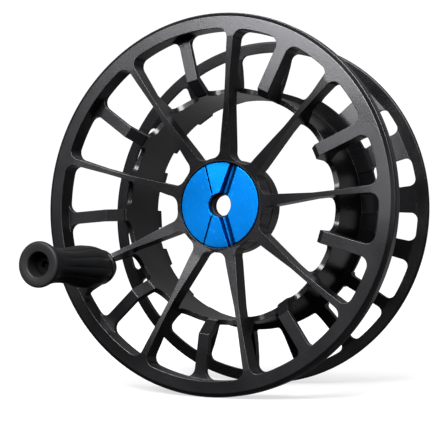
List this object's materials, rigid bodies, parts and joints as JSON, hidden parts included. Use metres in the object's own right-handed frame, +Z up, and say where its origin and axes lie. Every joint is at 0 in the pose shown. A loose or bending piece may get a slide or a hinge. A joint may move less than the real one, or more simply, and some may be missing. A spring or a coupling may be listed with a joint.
{
  "type": "fly reel spool",
  "caption": "Large-arbor fly reel spool: two rims on long and short machined spokes round an open arbor, with a blue hub cap, a one-way clutch in the hub and a free-spinning winding knob.",
  "frame": {"origin": "on the spindle axis, at the middle of the spindle bush in the hub's front wall", "axes": "+Y along the spindle axis towards the rear of the spool, +Z up, front face and winding knob towards -Y"},
  "size_m": [0.1086, 0.0696, 0.1086],
  "materials": {
    "black_anodised": "fine bead-blasted matte black anodise",
    "blue_anodised": "satin blue anodise",
    "black_polymer": "semi-matte black",
    "acetal": "natural acetal",
    "dark_acetal": "black filled acetal",
    "cage_nylon": "natural nylon",
    "stainless": "turned stainless steel",
    "roller_steel": "ground bearing steel",
    "spring_steel": "phosphated black spring steel"
  },
  "bodies": {
    "spool": {"front_rim": "black_anodised", "long_spokes": "black_anodised", "recessed_ribs": "black_anodised", "counter_ribs": "black_anodised", "arbor": "black_anodised", "rear_ribs": "black_anodised", "rear_rim": "black_anodised", "hub_barrel": "black_anodised", "hub_cap": "blue_anodised", "cap_screws": "stainless", "spindle_bush": "dark_acetal", "thrust_washer": "acetal", "clutch_shell": "stainless", "clutch_cage": "cage_nylon", "clutch_springs": "roller_steel", "retaining_ring": "spring_steel", "handle_post": "stainless", "handle_screw": "stainless", "screw_washer": "stainless", "wave_washer": "stainless"},
    "roller_1": {"clutch_roller_1": "roller_steel"},
    "roller_2": {"clutch_roller_2": "roller_steel"},
    "roller_3": {"clutch_roller_3": "roller_steel"},
    "roller_4": {"clutch_roller_4": "roller_steel"},
    "roller_5": {"clutch_roller_5": "roller_steel"},
    "roller_6": {"clutch_roller_6": "roller_steel"},
    "roller_7": {"clutch_roller_7": "roller_steel"},
    "roller_8": {"clutch_roller_8": "roller_steel"},
    "knob": {"knob": "black_polymer", "knob_outer_bush": "acetal", "knob_inner_bush": "acetal"}
  },
  "joints": [
    {"name": "knob_spin", "type": "hinge", "parent": "spool", "child": "knob", "pos_m": [-0.03633, -0.024, -0.01835], "axis": [0, 1, 0], "continuous": true},
    {"name": "roller_1_spin", "type": "hinge", "parent": "spool", "child": "roller_1", "pos_m": [0.00909, 0.0043, 0], "axis": [0, 1, 0], "continuous": true},
    {"name": "roller_2_spin", "type": "hinge", "parent": "spool", "child": "roller_2", "pos_m": [0.00643, 0.0043, 0.00643], "axis": [0, 1, 0], "continuous": true},
    {"name": "roller_3_spin", "type": "hinge", "parent": "spool", "child": "roller_3", "pos_m": [0, 0.0043, 0.00909], "axis": [0, 1, 0], "continuous": true},
    {"name": "roller_4_spin", "type": "hinge", "parent": "spool", "child": "roller_4", "pos_m": [-0.00643, 0.0043, 0.00643], "axis": [0, 1, 0], "continuous": true},
    {"name": "roller_5_spin", "type": "hinge", "parent": "spool", "child": "roller_5", "pos_m": [-0.00909, 0.0043, 0], "axis": [0, 1, 0], "continuous": true},
    {"name": "roller_6_spin", "type": "hinge", "parent": "spool", "child": "roller_6", "pos_m": [-0.00643, 0.0043, -0.00643], "axis": [0, 1, 0], "continuous": true},
    {"name": "roller_7_spin", "type": "hinge", "parent": "spool", "child": "roller_7", "pos_m": [0, 0.0043, -0.00909], "axis": [0, 1, 0], "continuous": true},
    {"name": "roller_8_spin", "type": "hinge", "parent": "spool", "child": "roller_8", "pos_m": [0.00643, 0.0043, -0.00643], "axis": [0, 1, 0], "continuous": true}
  ]
}
